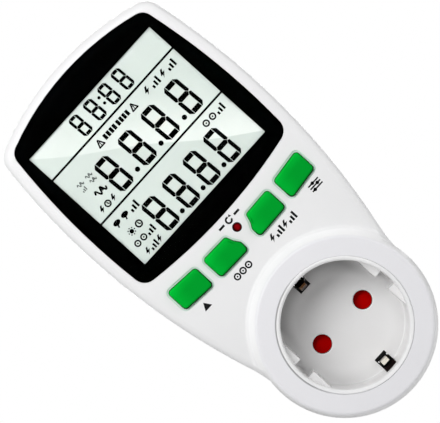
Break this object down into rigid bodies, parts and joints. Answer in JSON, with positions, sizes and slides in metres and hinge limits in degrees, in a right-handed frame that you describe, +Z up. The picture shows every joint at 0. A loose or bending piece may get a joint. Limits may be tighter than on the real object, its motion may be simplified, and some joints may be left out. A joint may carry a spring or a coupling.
{
  "type": "plug-in energy monitor",
  "caption": "Plug-in energy monitor: bowed white housing with a framed display, a row of green keys, a recessed reset key, a shuttered earthed socket in a raised collar and plug pins behind.",
  "frame": {"origin": "centre of the plug's end face, on the axis that plug and socket share", "axes": "+X to the right as seen from the front, +Y out of the back along the plug pins, +Z up towards the display"},
  "size_m": [0.076, 0.078, 0.1495],
  "materials": {
    "housing": "fine satin",
    "socket_white": "satin",
    "carrier_white": "satin",
    "mask_black": "printed",
    "lens_clear": "clear",
    "lcd_grey": "polariser film",
    "holder_white": "satin",
    "strip_rubber": "matt",
    "board_green": "solder mask",
    "chip_black": "moulded",
    "can_steel": "drawn",
    "battery_green": "shrink sleeve",
    "shunt_metal": "rolled",
    "capacitor_yellow": "moulded",
    "capacitor_blue": "shrink sleeve",
    "varistor_blue": "dipped",
    "shutter_red": "satin",
    "contact_brass": "rolled",
    "insulator_ivory": "satin",
    "earth_metal": "rolled",
    "pin_nickel": "nickel plate",
    "key_green": "satin",
    "key_red": "satin",
    "switch_grey": "moulded",
    "screw_steel": "zinc plate"
  },
  "bodies": {
    "housing": {"front_cover": "housing", "rear_cover": "housing", "socket_insert": "socket_white", "contact_carrier": "carrier_white", "display_bezel": "mask_black", "display_lens": "lens_clear", "lcd_cell": "lcd_grey", "lcd_holder": "holder_white", "rubber_strip": "strip_rubber", "main_board": "board_green", "power_board": "board_green", "meter_chip": "chip_black", "clock_crystal": "can_steel", "backup_battery": "battery_green", "board_header": "chip_black", "current_shunt": "shunt_metal", "dropper_capacitor": "capacitor_yellow", "filter_capacitor_1": "capacitor_blue", "filter_capacitor_2": "capacitor_blue", "surge_varistor": "varistor_blue", "live_contact": "contact_brass", "neutral_contact": "contact_brass", "live_insulator": "insulator_ivory", "live_strap": "contact_brass", "earth_strap_upper": "earth_metal", "earth_strap_lower": "earth_metal", "earth_link": "earth_metal", "live_pin": "pin_nickel", "neutral_pin": "pin_nickel", "up_key_switch": "switch_grey", "cost_key_switch": "switch_grey", "energy_key_switch": "switch_grey", "set_key_switch": "switch_grey", "reset_key_switch": "switch_grey", "cover_screw_1": "screw_steel", "cover_screw_2": "screw_steel", "cover_screw_3": "screw_steel", "cover_screw_4": "screw_steel", "cover_screw_5": "screw_steel"},
    "up_key": {"up_key": "key_green", "up_key_plunger": "chip_black"},
    "cost_key": {"cost_key": "key_green", "cost_key_plunger": "chip_black"},
    "energy_key": {"energy_key": "key_green", "energy_key_plunger": "chip_black"},
    "set_key": {"set_key": "key_green", "set_key_plunger": "chip_black"},
    "reset_key": {"reset_key": "key_red", "reset_key_plunger": "chip_black"},
    "shutter": {"safety_shutter": "shutter_red"}
  },
  "joints": [
    {"name": "up_key_press", "type": "slide", "parent": "housing", "child": "up_key", "axis": [0, 1, 0], "range_m": [0, 0.0008], "stiffness_N_per_m": 1500},
    {"name": "cost_key_press", "type": "slide", "parent": "housing", "child": "cost_key", "axis": [0, 1, 0], "range_m": [0, 0.0008], "stiffness_N_per_m": 1500},
    {"name": "energy_key_press", "type": "slide", "parent": "housing", "child": "energy_key", "axis": [0, 1, 0], "range_m": [0, 0.0008], "stiffness_N_per_m": 1500},
    {"name": "set_key_press", "type": "slide", "parent": "housing", "child": "set_key", "axis": [0, 1, 0], "range_m": [0, 0.0008], "stiffness_N_per_m": 1500},
    {"name": "reset_key_press", "type": "slide", "parent": "housing", "child": "reset_key", "axis": [0, 1, 0], "range_m": [0, 0.0008], "stiffness_N_per_m": 1500},
    {"name": "shutter_turn", "type": "hinge", "parent": "housing", "child": "shutter", "pos_m": [0, 0, 0], "axis": [0, 1, 0], "range_deg": [0, 42], "stiffness_Nm_per_rad": 0.002}
  ]
}
